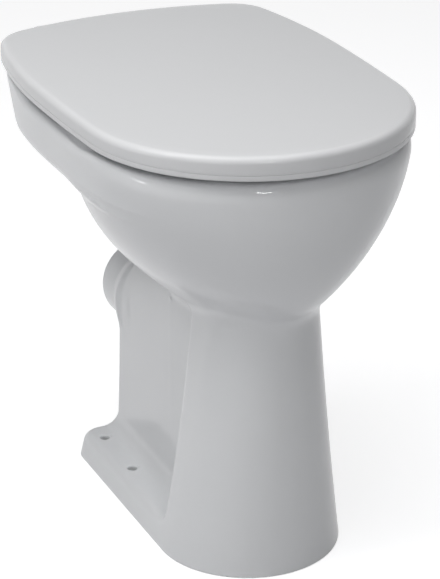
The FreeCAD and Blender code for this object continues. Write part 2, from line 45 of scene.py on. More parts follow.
# shader maths: a socket that takes part in Python expressions
class Wire:
    def __init__(self, tree, socket):
        self.tree = tree
        self.socket = socket

    def make(self, kind, settings=None, inputs=None, out=0):
        node = self.tree.nodes.new(kind)
        for key, value in (settings or {}).items():
            setattr(node, key, value)
        for key, value in (inputs or {}).items():
            plug(self.tree, node.inputs[key], value)
        return Wire(self.tree, node.outputs[out])

    def maths(self, operation, first, second=0.0):
        return self.make("ShaderNodeMath", {"operation": operation}, {0: first, 1: second})

    def __add__(self, other): return self.maths("ADD", self, other)
    def __radd__(self, other): return self.maths("ADD", other, self)
    def __sub__(self, other): return self.maths("SUBTRACT", self, other)
    def __rsub__(self, other): return self.maths("SUBTRACT", other, self)
    def __mul__(self, other): return self.maths("MULTIPLY", self, other)
    def __rmul__(self, other): return self.maths("MULTIPLY", other, self)
    def __truediv__(self, other): return self.maths("DIVIDE", self, other)


def plug(tree, socket, value):
    if isinstance(value, Wire):
        tree.links.new(value.socket, socket)
    elif isinstance(value, (tuple, list)) and len(value) == 3 and socket.type == "RGBA":
        socket.default_value = (*value, 1.0)
    else:
        socket.default_value = value


def newMaterial(name):
    material = bpy.data.materials.new(name)
    material.use_nodes = True
    tree = material.node_tree
    shader = tree.nodes["Principled BSDF"]
    place = tree.nodes.new("ShaderNodeTexCoord")
    return material, tree, shader, Wire(tree, place.outputs["Object"])


def noise(place, scale, detail=2.0, rough=0.5):
    return place.make("ShaderNodeTexNoise", None,
                      {"Vector": place, "Scale": scale, "Detail": detail, "Roughness": rough})


def mixColour(amount, first, second):
    return amount.make("ShaderNodeMix", {"data_type": "RGBA"}, {0: amount, 6: first, 7: second}, out=2)


def bumpOf(height, strength, distance):
    return height.make("ShaderNodeBump", None, {"Height": height, "Strength": strength, "Distance": distance})


def glazeMaterial(name, spec):
    # gloss over a pale body: faint clouding in the colour and a slow ripple in the surface
    material, tree, shader, place = newMaterial(name)
    cloud = noise(place, spec["cloudScale"], 3.0)
    speck = noise(place, spec["speckScale"], 1.0)
    colour = mixColour(cloud, spec["colour"], spec["tint"])
    plug(tree, shader.inputs["Base Color"], colour)
    plug(tree, shader.inputs["Roughness"], spec["roughness"] + (speck - 0.5) * spec["roughSpread"])
    ripple = noise(place, spec["rippleScale"], 2.0)
    plug(tree, shader.inputs["Normal"], bumpOf(ripple, spec["rippleStrength"], spec["rippleDepth"]))
    shader.inputs["IOR"].default_value = spec["ior"]
    shader.inputs["Specular IOR Level"].default_value = spec["specular"]
    shader.inputs["Coat Weight"].default_value = spec["coat"]
    shader.inputs["Coat Roughness"].default_value = spec["coatRoughness"]
    return material


def metalMaterial(name, spec):
    # turned or polished metal with fine lines along one axis
    material, tree, shader, place = newMaterial(name)
    stretched = place.make("ShaderNodeMapping", None, {"Vector": place, "Scale": spec["grain"]})
    lines = noise(stretched, spec["lineScale"], 4.0)
    stain = noise(place, spec["stainScale"], 3.0)
    plug(tree, shader.inputs["Base Color"], mixColour(stain, spec["colour"], spec["tint"]))
    plug(tree, shader.inputs["Roughness"], spec["roughness"] + (lines - 0.5) * spec["roughSpread"])
    plug(tree, shader.inputs["Normal"], bumpOf(lines, spec["lineStrength"], spec["lineDepth"]))
    shader.inputs["Metallic"].default_value = 1.0
    return material


def mouldedMaterial(name, spec):
    # rubber and moulded plastic: a fine pebble, and clouding between two tones in the colour
    material, tree, shader, place = newMaterial(name)
    pebble = noise(place, spec["pebbleScale"], 3.0)
    cloud = noise(place, spec["cloudScale"], 2.0)
    plug(tree, shader.inputs["Base Color"], mixColour(cloud, spec["colour"], spec["tint"]))
    plug(tree, shader.inputs["Roughness"], spec["roughness"] + (pebble - 0.5) * spec["roughSpread"])
    plug(tree, shader.inputs["Normal"], bumpOf(pebble, spec["pebbleStrength"], spec["pebbleDepth"]))
    return material


finishes = {
    "china": {"colour": (0.85, 0.86, 0.87), "tint": (0.815, 0.825, 0.84), "cloudScale": 6.0, "speckScale": 160.0,
              "roughness": 0.3, "roughSpread": 0.08, "rippleScale": 22.0, "rippleStrength": 0.06,
              "rippleDepth": 0.004, "ior": 1.5, "specular": 0.12, "coat": 0.4, "coatRoughness": 0.04},
    "thermoset": {"colour": (0.785, 0.79, 0.80), "tint": (0.76, 0.765, 0.775), "cloudScale": 4.0, "speckScale": 220.0,
                  "roughness": 0.25, "roughSpread": 0.06, "rippleScale": 30.0, "rippleStrength": 0.03,
                  "rippleDepth": 0.002, "ior": 1.48, "specular": 0.15, "coat": 0.28, "coatRoughness": 0.06},
    "chrome": {"colour": (0.80, 0.81, 0.82), "tint": (0.72, 0.73, 0.75), "grain": (1.0, 1.0, 1.0), "lineScale": 90.0,
               "stainScale": 60.0, "roughness": 0.1, "roughSpread": 0.06, "lineStrength": 0.03, "lineDepth": 0.0004},
    "steel": {"colour": (0.62, 0.63, 0.64), "tint": (0.50, 0.51, 0.52), "grain": (0.2, 1.0, 1.0), "lineScale": 900.0,
              "stainScale": 120.0, "roughness": 0.32, "roughSpread": 0.16, "lineStrength": 0.12, "lineDepth": 0.0003},
    "greyRubber": {"colour": (0.06, 0.06, 0.063), "tint": (0.10, 0.10, 0.10), "cloudScale": 90.0,
                   "pebbleScale": 1400.0, "roughness": 0.75, "roughSpread": 0.15, "pebbleStrength": 0.25,
                   "pebbleDepth": 0.0002},
    "whiteRubber": {"colour": (0.66, 0.66, 0.65), "tint": (0.58, 0.58, 0.57), "cloudScale": 70.0,
                    "pebbleScale": 1200.0, "roughness": 0.55, "roughSpread": 0.12, "pebbleStrength": 0.15,
                    "pebbleDepth": 0.0002},
    "nutPlastic": {"colour": (0.70, 0.70, 0.68), "tint": (0.62, 0.62, 0.59), "cloudScale": 80.0,
                   "pebbleScale": 900.0, "roughness": 0.42, "roughSpread": 0.12, "pebbleStrength": 0.15,
                   "pebbleDepth": 0.0002},
}
china = glazeMaterial("glazedChina", finishes["china"])
thermoset = glazeMaterial("seatThermoset", finishes["thermoset"])
chrome = metalMaterial("hingeChrome", finishes["chrome"])
steel = metalMaterial("turnedSteel", finishes["steel"])
greyRubber = mouldedMaterial("greyRubber", finishes["greyRubber"])
whiteRubber = mouldedMaterial("whiteRubber", finishes["whiteRubber"])
nutPlastic = mouldedMaterial("nutPlastic", finishes["nutPlastic"])
print("materials made")


def meshObject(name, points, faces, material):
    # points in millimetres
    mesh = bpy.data.meshes.new(name)
    mesh.from_pydata((np.asarray(points, float) * mm).tolist(), [], faces)
    mesh.materials.append(material)
    piece = bpy.data.objects.new(name, mesh)
    scene.collection.objects.link(piece)
    return piece


def enter(piece, body, nodes, sharp=None):
    # hands a finished piece to the frame
    piece.data.shade_smooth()
    if sharp:
        piece.data.set_sharp_from_angle(angle=math.radians(sharp))
    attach(piece, body)
    if nodes:
        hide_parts(*nodes)
    return piece


def bake(piece):
    # keeps what the modifiers make and drops them
    graph = bpy.context.evaluated_depsgraph_get()
    mesh = bpy.data.meshes.new_from_object(piece.evaluated_get(graph))
    piece.modifiers.clear()
    piece.data = mesh
    return piece


def cutAway(piece, cutter):
    cut = piece.modifiers.new("cut", "BOOLEAN")
    cut.operation = "DIFFERENCE"
    cut.solver = "MANIFOLD"
    cut.object = cutter
    bake(piece)
    bpy.data.objects.remove(cutter)


def ringFaces(rings, count, closed):
    faces = []
    for k in range(rings if closed else rings - 1):
        a, b = k * count, (k + 1) % rings * count
        for i in range(count):
            j = (i + 1) % count
            faces.append((a + i, a + j, b + j, b + i))
    return faces


def outwards(piece):
    shell = bmesh.new()
    shell.from_mesh(piece.data)
    bmesh.ops.recalc_face_normals(shell, faces=shell.faces)
    shell.to_mesh(piece.data)
    shell.free()
    return piece


def joined(shells):
    points, faces, start = [], [], 0
    for shellPoints, shellFaces in shells:
        points.extend(shellPoints)
        faces.extend([tuple(i + start for i in face) for face in shellFaces])
        start += len(shellPoints)
    return points, faces


# the plan of the lid, which the rim and the deck keep to as well
outline = {"half": 180.0, "front": -265.0, "widest": 45.0, "frontRadius": 176.0, "sideRadius": 720.0}


def flankArc():
    # the long arc that touches the front arc and is square to the widest line
    reach = outline["widest"] - outline["front"] - outline["frontRadius"]
    spare = outline["half"] - outline["frontRadius"]
    radius = (outline["half"] ** 2 + reach ** 2 - outline["frontRadius"] ** 2) / (2 * spare)
    return outline["half"] - radius, radius


# the cast pan: signed distances in millimetres, joined with round edges and hollows
pan = {
    "rimHeight": 475.0, "rimFront": -260.0, "rimHalf": 173.5, "rimLength": 400.0, "widest": 165.0,
    "rimDip": 4.0, "rimRise": (100.0, 100.0), "rimRound": 4.0, "rimInnerRound": 8.0, "rimInnerFade": (440.0, 10.0),
    "rimTopWidth": 42.0, "rimUnder": 418.0,
    "rimStations": (-170.0, -60.0, 100.0, 200.0), "rimLeanRun": (19.0, 8.0, 8.0, 5.0), "rimLeanRadius": 34.0,
    "rimStep": (-12.0, 5.0, 5.0, -12.0), "rimStepRun": 15.0, "rimStepRound": 7.0, "ledgeRound": 3.0,
    "bowlHeight": 195.0, "bowlOverrun": 1.12, "rimBand": 17.0, "neckHalf": 63.0, "frontRun": 80.0, "rearRun": 145.0,
    "widestRun": 75.0, "bowlWall": 12.0, "wellTurn": (300.0, 62.0), "wellRound": 9.0, "mouthUnder": 12.0,
    "mouthBlend": 7.0, "neckBlend": 10.0,
    "deckBottom": 407.0, "deckDepth": 120.0, "deckInset": (3.5, 2.0), "deckInsetY": (50.0, 200.0), "deckDraft": 0.065,
    "deckFade": 0.0006, "deckFadeY": -20.0, "deckCorner": 34.0, "deckCornerDraft": 0.57, "deckRear": 265.0,
    "deckRearRadius": 300.0, "deckUnderRound": 22.0, "deckSlab": 14.0, "deckWall": 12.0, "deckLip": (2.0, 15.0, 6.0),
    "deckReach": 110.0, "deckCrease": (6.0, 30.0), "deckCreaseRun": 35.0, "pocketRound": 3.0,
    "levels": (0.0, 90.0, 330.0), "halves": (103.0, 87.0, 57.5), "fronts": (-202.0, -200.5, -192.0),
    "rears": (162.0, 153.0, 148.0), "corners": (22.0, 22.0, 4.0), "wall": 11.0, "shellRound": 2.5,
    "pedestalTop": 380.0, "footRound": 2.5,
    "recessHalf": 51.0, "recessFront": -88.0, "recessFloor": 30.0, "recessCorner": 14.0, "recessFoot": 18.0,
    "edgeRound": 9.0, "housingY": 148.0, "housingSlope": 21.0,
    "outletHeight": 194.0, "outletRadius": 51.0, "outletEnd": 195.0, "outletRoot": 112.0, "outletRound": 3.0,
    "bead": 54.0, "beadFront": 140.0, "beadRear": 152.0, "beadRound": 2.5, "beadBlend": 10.0, "spigotBlend": 5.0,
    "trapRadius": 35.0, "trapOutside": 44.0, "trapBend": 46.0, "trapY": -55.0, "trapLow": 74.0, "trapTop": 300.0,
    "trapBlend": 18.0,
    "inletY": 102.0, "inletZ": 420.0, "inletRadius": 27.5, "inletOutside": 38.0, "inletBore": 125.0, "bossBlend": 6.0,
    "boreRound": 2.0,
}


def roundBoth(a, b, radius):
    # where both are solid, with the outer edge rounded
    return np.minimum(-radius, np.maximum(a, b)) + np.hypot(np.maximum(a + radius, 0), np.maximum(b + radius, 0))


def roundEither(a, b, radius):
    # where either is solid, with the inner corner filled
    return np.maximum(radius, np.minimum(a, b)) - np.hypot(np.maximum(radius - a, 0), np.maximum(radius - b, 0))


def ovalGap(x, y, half, front, rear, widest):
    reach = np.where(y > widest, rear - widest, widest - front)
    reach = np.maximum(reach, 4.0)
    across = (np.abs(x) + 1e-4) / half
    along = (y - widest) / reach
    near = np.hypot(across, along)
    return near * (near - 1) / np.hypot(across / half, along / reach)


def bowlSizes(z, inset):
    share = (pan["rimHeight"] - z) / pan["bowlHeight"]
    share = np.clip(share, 0.0, pan["bowlOverrun"])
    band = pan["rimBand"] / pan["bowlHeight"]
    swell = np.maximum(0.0, (share - band) / (1 - band))
    half = pan["rimHalf"] - (pan["rimHalf"] - pan["neckHalf"]) * swell ** 2
    front = pan["rimFront"] + pan["frontRun"] * share ** 3
    rear = pan["rimFront"] + pan["rimLength"] - pan["rearRun"] * share ** 2
    widest = pan["rimFront"] + pan["widest"] + pan["widestRun"] * share
    return half - inset, front + inset, rear - inset, widest


def bowlOutside(x, y, z):
    return ovalGap(x, y, *bowlSizes(z, 0.0))


def bowlInside(x, y, z):
    # the well draws in to the round inlet of the trap
    start, run = pan["wellTurn"]
    turn = np.clip((start - z) / run, 0.0, 1.0)
    turn = turn * turn * (3 - 2 * turn)
    radius = pan["trapRadius"]
    pipe = (radius, pan["trapY"] - radius, pan["trapY"] + radius, pan["trapY"])
    sizes = [size * (1 - turn) + target * turn for size, target in zip(bowlSizes(z, pan["bowlWall"]), pipe)]
    return ovalGap(x, y, *sizes)


def evened(gap, x, y, z):
    # divides by the slope, so that blends keep their radius on leaning walls; gives the way out as well
    step = 0.5
    here = gap(x, y, z)
    slope = np.stack([gap(x + step, y, z) - here, gap(x, y + step, z) - here, gap(x, y, z + step) - here]) / step
    size = np.clip(np.sqrt((slope ** 2).sum(0)), 0.3, 3.0)
    return here / size, slope / size


def throughLevels(z, values):
    # a parabola through three levels
    z0, z1, z2 = pan["levels"]
    a, b, c = values
    z = np.clip(z, z0, z2 + 30.0)
    return (a * (z - z1) * (z - z2) / ((z0 - z1) * (z0 - z2)) + b * (z - z0) * (z - z2) / ((z1 - z0) * (z1 - z2))
            + c * (z - z0) * (z - z1) / ((z2 - z0) * (z2 - z1)))


def columnGap(x, y, z):
    half = throughLevels(z, pan["halves"])
    front = throughLevels(z, pan["fronts"])
    rear = throughLevels(z, pan["rears"])
    corner = np.maximum(throughLevels(z, pan["corners"]), 1.0)
    middle = (front + rear) / 2
    radius = np.where(y > middle, corner, half)
    qx = np.abs(x) - half + radius
    qy = np.abs(y - middle) - (rear - front) / 2 + radius
    return np.minimum(np.maximum(qx, qy), 0) + np.hypot(np.maximum(qx, 0), np.maximum(qy, 0)) - radius


def pedestalGap(x, y, z):
    slope = math.radians(pan["housingSlope"])
    above = (y - pan["housingY"]) * math.sin(slope) + (z - pan["outletHeight"]) * math.cos(slope)
    wall = pan["recessHalf"] - np.where(above > 0, np.hypot(x, above), np.abs(x))
    side = roundBoth(wall, pan["recessFloor"] - z, pan["recessFoot"])
    depth = throughLevels(z, pan["halves"]) - pan["recessHalf"]
    hollowed = roundBoth(side, pan["recessFront"] - y, np.clip(depth * 0.5, 1.0, pan["recessCorner"]))
    return roundBoth(columnGap(x, y, z), -hollowed, np.clip(depth * 0.4, 1.0, pan["edgeRound"]))


def deckPlan(x, y, z):
    # the lid's plan drawn in, more and more towards the bottom, and closed by its own rear
    below = np.clip(pan["rimHeight"] - z, 0.0, pan["deckDepth"])
    inset = np.interp(y, pan["deckInsetY"], pan["deckInset"])
    inset = inset + pan["deckDraft"] * below + pan["deckFade"] * np.minimum(y - pan["deckFadeY"], 0.0) ** 2
    wide = np.abs(x)
    middle, radius = flankArc()
    frontY = outline["front"] + outline["frontRadius"]
    rise = outline["widest"] - frontY
    ahead = -middle * (y - frontY) + rise * wide
    front = np.hypot(x, y - frontY) - outline["frontRadius"]
    flank = np.hypot(wide - middle, y - outline["widest"]) - radius
    side = np.hypot(wide - outline["half"] + outline["sideRadius"], y - outline["widest"]) - outline["sideRadius"]
    side = np.where(y > outline["widest"], side, np.where(ahead < 0, front, flank)) + inset
    back = np.hypot(x, y - (pan["deckRear"] - pan["deckRearRadius"])) - pan["deckRearRadius"]
    corner = pan["deckCorner"] + pan["deckCornerDraft"] * below
    return np.where(y > outline["widest"], roundBoth(side, back, corner), side)


def deckGap(x, y, z):
    return roundBoth(deckPlan(x, y, z), pan["deckBottom"] - z, pan["deckUnderRound"])


def trapGap(x, y, z):
    # distance from the middle of the trap's pipe
    bend = pan["trapBend"]
    down = pan["trapY"]
    low = pan["trapLow"] + bend
    weir = pan["outletHeight"] - bend
    up = down + 2 * bend
    legDown = np.hypot(y - down, np.maximum(low - z, np.maximum(z - pan["trapTop"], 0)))
    turn = np.where(z < low, np.abs(np.hypot(y - down - bend, z - low) - bend), 1e3)
    legUp = np.hypot(y - up, np.maximum(np.maximum(low - z, z - weir), 0))
    over = np.where((y < up + bend) & (z > weir), np.abs(np.hypot(y - up - bend, z - weir) - bend), 1e3)
    out = np.hypot(np.maximum(up + bend - y, 0), z - pan["outletHeight"])
    return np.hypot(x, np.minimum(np.minimum(np.minimum(legDown, turn), np.minimum(legUp, over)), out))


def rimTop(y):
    # the rim lies a little lower than the deck that carries the hinges
    start, run = pan["rimRise"]
    rise = np.clip((y - start) / run, 0.0, 1.0)
    return pan["rimHeight"] - pan["rimDip"] * (1.0 - rise * rise * (3.0 - 2.0 * rise))


def panGap(x, y, z):
    bowl, bowlWay = evened(bowlOutside, x, y, z)
    hollow, hollowWay = evened(bowlInside, x, y, z)
    pedestal = pedestalGap(x, y, z)
    plan = deckPlan(x, y, z)
    deck, deckWay = evened(deckGap, x, y, z)
    spigot = np.hypot(x, z - pan["outletHeight"]) - pan["outletRadius"]
    spigot = roundBoth(spigot, np.maximum(y - pan["outletEnd"], pan["outletRoot"] - y), pan["outletRound"])
    bead = np.hypot(x, z - pan["outletHeight"]) - pan["bead"]
    bead = roundBoth(bead, np.maximum(y - pan["beadRear"], pan["outletRoot"] - y), pan["beadRound"])
    boss = np.hypot(x, z - pan["inletZ"]) - pan["inletOutside"]
    boss = np.maximum(np.maximum(boss, plan + pan["bossBlend"]), pan["inletY"] - y)

    # the crease fades where bowl and deck run alongside
    turn = np.sqrt(np.maximum(2.0 - 2.0 * (bowlWay * deckWay).sum(0), 0.0))
    crease = np.interp(z, (pan["deckBottom"], pan["deckBottom"] + pan["deckCreaseRun"]), pan["deckCrease"])
    deckBlend = np.clip(pan["deckReach"] * 0.5 * turn, 0.5, crease)
    body = roundEither(bowl, np.maximum(pedestal, z - pan["pedestalTop"]), pan["neckBlend"])
    body = roundEither(body, deck, deckBlend)
    body = roundEither(body, np.maximum(bead, pan["beadFront"] - y), pan["beadBlend"])
    body = roundEither(body, spigot, pan["spigotBlend"])
    body = roundEither(body, boss, pan["bossBlend"])

    # the rim draws in under the seat, with a step at the sides
    top = rimTop(y)
    leanRun = np.interp(y, pan["rimStations"], pan["rimLeanRun"])
    lean = np.clip(z - top + leanRun, 0.0, leanRun)
    body = body + pan["rimLeanRadius"] - np.sqrt(pan["rimLeanRadius"] ** 2 - lean ** 2)
    ledge = top - np.interp(y, pan["rimStations"], pan["rimStep"]) - z
    body = roundBoth(body, -roundBoth(ledge, -body - pan["rimStepRun"], pan["ledgeRound"]), pan["rimStepRound"])
    body = roundBoth(body, z - top, pan["rimRound"])
    body = roundBoth(body, -z, pan["footRound"])

    # the wet side: well, mouth and trap
    well = roundBoth(hollow, z - pan["rimUnder"], pan["wellRound"])
    rim = pan["rimTopWidth"]
    mouth = ovalGap(x, y, pan["rimHalf"] - rim, pan["rimFront"] + rim, pan["rimFront"] + pan["rimLength"] - rim,
                    pan["rimFront"] + pan["widest"])
    mouth = np.maximum(mouth, pan["rimUnder"] - pan["mouthUnder"] - z)
    pipe = trapGap(x, y, z)
    wet = roundEither(well, mouth, pan["mouthBlend"])
    wet = roundEither(wet, pipe - pan["trapRadius"], pan["trapBlend"])
    start, run = pan["rimInnerFade"]
    body = roundBoth(body, -wet, pan["rimInnerRound"] * np.clip((z - start) / run, 0.2, 1.0))

    # hollows of the casting: pedestal, deck and flush inlet
    shell = np.maximum(pedestal + pan["wall"], -bowl)
    shell = np.maximum(np.maximum(shell, pan["trapOutside"] - pipe), -spigot)
    shell = np.maximum(shell, pan["bowlWall"] - hollow)
    body = roundBoth(body, -shell, pan["shellRound"])
    low, high, thicker = pan["deckLip"]
    wall = pan["deckWall"] + np.interp(z, (pan["deckBottom"] + low, pan["deckBottom"] + high), (thicker, 0.0))
    pocket = np.maximum(plan + wall, z - (pan["rimHeight"] - pan["deckSlab"]))
    pocket = np.maximum(np.maximum(pocket, pan["deckBottom"] - pan["deckWall"] - z), -np.minimum(bowl, boss))
    body = roundBoth(body, -pocket, pan["pocketRound"])
    bore = np.maximum(np.hypot(x, z - pan["inletZ"]) - pan["inletRadius"], pan["inletBore"] - y)
    return roundBoth(body, -bore, pan["boreRound"])


# the net that the surface is caught in: finer at the foot, the outlet and the rim
net = {"cell": 4.7, "fineCell": 1.5, "fineY": ((138.0, 154.0), (186.0, 197.0)), "footStart": -1.8, "footCell": 0.9,
       "footSpots": ((-2.0, 4.0),), "rimRun": 22.0, "rimCell": 2.6, "rounds": 5, "reach": 0.6}


def gridLines(low, high, coarse, fine, spots):
    # evenly spaced lines, closer together round the spots
    lines = [low]
    while lines[-1] < high:
        near = any(a <= lines[-1] <= b for a, b in spots)
        lines.append(lines[-1] + (fine if near else coarse))
    return np.array(lines)


def netSurface(field, xs, ys, zs):
    # one point in each cell that the surface passes through, joined across the grid's edges
    solid = field < 0
    shape = tuple(n - 1 for n in field.shape)
    count = np.zeros(shape, int)
    for i in (0, 1):
        for j in (0, 1):
            for k in (0, 1):
                count += solid[i:i + shape[0], j:j + shape[1], k:k + shape[2]]
    mixed = (count > 0) & (count < 8)
    cells = np.argwhere(mixed)
    number = np.full(shape, -1)
    number[mixed] = np.arange(len(cells))
    total = np.zeros((len(cells), 3))
    hits = np.zeros(len(cells))
    lines = (xs, ys, zs)
    for axis in range(3):
        others = [a for a in range(3) if a != axis]
        for u in (0, 1):
            for v in (0, 1):
                start = cells.copy()
                start[:, others[0]] += u
                start[:, others[1]] += v
                end = start.copy()
                end[:, axis] += 1
                f0 = field[tuple(start.T)]
                f1 = field[tuple(end.T)]
                cut = (f0 < 0) != (f1 < 0)
                share = np.where(cut, f0 / np.where(cut, f0 - f1, 1.0), 0.0)
                p0 = np.stack([lines[a][start[:, a]] for a in range(3)], 1)
                p1 = np.stack([lines[a][end[:, a]] for a in range(3)], 1)
                total += np.where(cut[:, None], p0 + share[:, None] * (p1 - p0), 0.0)
                hits += cut
    points = total / hits[:, None]
    quads = []
    for axis in range(3):
        a, b = [(1, 2), (2, 0), (0, 1)][axis]
        low = np.take(solid, range(field.shape[axis] - 1), axis)
        high = np.take(solid, range(1, field.shape[axis]), axis)
        crossing = np.argwhere(low != high)
        inside = np.all((crossing[:, [a, b]] > 0) & (crossing[:, [a, b]] < np.array(shape)[[a, b]]), axis=1)
        crossing = crossing[inside]
        outward = low[tuple(crossing.T)]
        corners = []
        for u, v in ((-1, -1), (0, -1), (0, 0), (-1, 0)):
            cell = crossing.copy()
            cell[:, a] += u
            cell[:, b] += v
            corners.append(number[tuple(cell.T)])
        corners = np.stack(corners, 1)
        corners[~outward] = corners[~outward][:, ::-1]
        quads.append(corners)
    return points, np.concatenate(quads)


def settle(gap, points, quads, rounds, reach):
    # slides the points evenly along the surface and back onto it
    edges = np.concatenate([quads[:, [0, 1]], quads[:, [1, 2]], quads[:, [2, 3]], quads[:, [3, 0]]])
    for turn in range(rounds):
        if turn < rounds - 2:
            total = np.zeros_like(points)
            count = np.zeros(len(points))
            for a, b in ((0, 1), (1, 0)):
                np.add.at(total, edges[:, a], points[edges[:, b]])
                np.add.at(count, edges[:, a], 1)
            points = points + 0.5 * (total / count[:, None] - points)
        x, y, z = points.T
        here = gap(x, y, z)
        step = 0.05
        slope = np.stack([gap(x + step, y, z) - here, gap(x, y + step, z) - here, gap(x, y, z + step) - here], 1)
        slope = slope / step
        size = np.maximum((slope ** 2).sum(1), 0.05)
        move = slope * (here / size)[:, None]
        length = np.linalg.norm(move, axis=1)
        points = points - move * np.minimum(1.0, reach / np.maximum(length, 1e-9))[:, None]
    return points


def castPan():
    cell = net["cell"]
    top = pan["rimHeight"]
    half = gridLines(0.0, pan["rimHalf"] + 2 * cell, cell, net["fineCell"], ())
    xs = np.concatenate([-half[:0:-1], half])
    ys = gridLines(pan["rimFront"] - cell, pan["deckRear"] + cell, cell, net["fineCell"], net["fineY"])
    low = gridLines(net["footStart"], top - net["rimRun"], cell, net["footCell"], net["footSpots"])
    zs = np.concatenate([low[:-1], gridLines(low[-1], top + cell, net["rimCell"], net["rimCell"], ())])
    gx, gy, gz = np.meshgrid(half, ys, zs, indexing="ij")
    field = panGap(gx.ravel(), gy.ravel(), gz.ravel()).reshape(gx.shape)
    field = np.concatenate([field[:0:-1], field])
    points, quads = netSurface(field, xs, ys, zs)
    points = settle(panGap, points, quads, net["rounds"], cell * net["reach"])
    points[:, 1] = np.minimum(points[:, 1], pan["deckRear"])
    points[:, 2] = np.clip(points[:, 2], 0.0, top)
    print("pan:", len(points), "points", len(quads), "faces")
    return meshObject("glazedPan", points, quads.tolist(), china)


# where the shading comes straight from the distances: the bowl, the deck's top and the foot round its holes
shading = {"step": 0.4, "near": 0.3, "slope": 0.3, "agree": 0.96, "bowlLow": 335.0, "deckFrom": 100.0,
           "deckLow": 430.0, "footTop": 50.0, "footFrom": 10.0}


def fieldNormals(piece):
    points = np.zeros(len(piece.data.vertices) * 3, np.float32)
    piece.data.vertices.foreach_get("co", points)
    x, y, z = points.reshape(-1, 3).T.astype(float) / mm
    s, step = shading, shading["step"]
    slope = np.stack([panGap(x + step, y, z) - panGap(x - step, y, z),
                      panGap(x, y + step, z) - panGap(x, y - step, z),
                      panGap(x, y, z + step) - panGap(x, y, z - step)], 1)
    size = np.linalg.norm(slope, axis=1)
    way = slope / np.maximum(size, 1e-9)[:, None]
    own = np.array([normal.vector for normal in piece.data.vertex_normals])
    good = (np.abs(panGap(x, y, z)) < s["near"]) & (size > s["slope"]) & ((way * own).sum(1) > s["agree"])
    bowl = (z > s["bowlLow"]) & ((y < s["deckFrom"]) | (z > s["deckLow"]))
    good &= bowl | (z < s["footTop"]) & (y > s["footFrom"])
    way = np.where(good[:, None], way, 0.0)
    piece.data.normals_split_custom_set_from_vertices(way.tolist())


# screw holes: those in the floor flare a little at the top, those in the deck are plain
screws = {"foot": ((79.0, 124.0), (79.0, 40.0)), "footRadius": 5.5, "footFlare": 1.6, "deck": (77.5, 228.0),
          "deckRadius": 7.0, "deckDepth": 30.0, "under": 4.0, "over": 6.0}


def turnedPeg(profile, x, y, count=40):
    # a closed shape turned about an upright axis
    points = []
    for radius, height in profile:
        for i in range(count):
            a = 2 * math.pi * i / count
            points.append((x + radius * math.cos(a), y + radius * math.sin(a), height))
    faces = ringFaces(len(profile), count, False)
    last = (len(profile) - 1) * count
    return points, faces + [tuple(range(count))[::-1], tuple(range(last, last + count))]


def screwHoles():
    r, flare, top, over = screws["footRadius"], screws["footFlare"], pan["recessFloor"], screws["over"]
    turns = np.radians(np.linspace(0, 90, 6))
    foot = [(r, -screws["under"])]
    foot += [(r + flare - flare * math.cos(t), top - flare + flare * math.sin(t)) for t in turns]
    foot.append((r + flare, top + over))
    wide, high = screws["deckRadius"], pan["rimHeight"]
    deck = [(wide, high - screws["deckDepth"]), (wide, high + over)]
    holes = [(foot, x, y) for x, y in screws["foot"]] + [(deck, *screws["deck"])]
    pegs = joined([turnedPeg(profile, side * x, y) for profile, x, y in holes for side in (-1, 1)])
    return outwards(meshObject("screwHoles", *pegs, china))


# flush holes: pegs set out round the rim by nodes, then cut from its underside
flush = {"Count": 18, "Half": 150.0, "Front": 141.5, "Rear": 211.5, "Middle": -95.0, "Low": 408.0, "Height": 20.0,
         "Radius": 3.5, "sides": 20}


def newTree(name, floats, ints=()):
    tree = bpy.data.node_groups.new(name, "GeometryNodeTree")
    ids = {}
    for label in floats:
        ids[label] = tree.interface.new_socket(label, in_out="INPUT", socket_type="NodeSocketFloat").identifier
    for label in ints:
        ids[label] = tree.interface.new_socket(label, in_out="INPUT", socket_type="NodeSocketInt").identifier
    tree.interface.new_socket("Geometry", in_out="OUTPUT", socket_type="NodeSocketGeometry")
    source = tree.nodes.new("NodeGroupInput")
    sink = tree.nodes.new("NodeGroupOutput")
    return tree, ids, {label: Wire(tree, source.outputs[label]) for label in ids}, sink.inputs[0]


def runTree(name, tree, ids, values, material):
    piece = meshObject(name, [(0, 0, 0)], [], material)
    nodes = piece.modifiers.new(name, "NODES")
    nodes.node_group = tree
    for label, key in ids.items():
        nodes[key] = values[label]
    return bake(piece)


def closeTree(tree, geometry, sink, material):
    real = geometry.make("GeometryNodeRealizeInstances", None, {0: geometry})
    plug(tree, sink, real.make("GeometryNodeSetMaterial", None, {"Geometry": real, "Material": material}))


def flushPegs():
    sizes = ("Half", "Front", "Rear", "Middle", "Low", "Height", "Radius")
    tree, ids, take, sink = newTree("flushPegs", sizes, ("Count",))
    count = take["Count"]
    index = count.make("GeometryNodeInputIndex")
    angle = (index + 0.5) * (2 * math.pi) / count
    up = count.maths("SINE", angle)
    behind = count.maths("GREATER_THAN", up, 0.0)
    reach = take["Front"] + (take["Rear"] - take["Front"]) * behind
    place = count.make("ShaderNodeCombineXYZ", None,
                       {"X": take["Half"] * count.maths("COSINE", angle) * mm,
                        "Y": (take["Middle"] + reach * up) * mm, "Z": (take["Low"] + take["Height"] * 0.5) * mm})
    points = count.make("GeometryNodePoints", None, {"Count": count, "Position": place})
    peg = count.make("GeometryNodeMeshCylinder", None,
                     {"Vertices": flush["sides"], "Radius": take["Radius"] * mm, "Depth": take["Height"] * mm})
    pegs = count.make("GeometryNodeInstanceOnPoints", None, {"Points": points, "Instance": peg})
    closeTree(tree, pegs, sink, china)
    return runTree("flushPegs", tree, ids, flush, china)


glazedPan = castPan()
cutAway(glazedPan, flushPegs())
cutAway(glazedPan, screwHoles())
enter(glazedPan, "pan", ["ceramic_pan"], 50)
fieldNormals(glazedPan)
print("pan cast,", len(glazedPan.data.polygons), "faces")

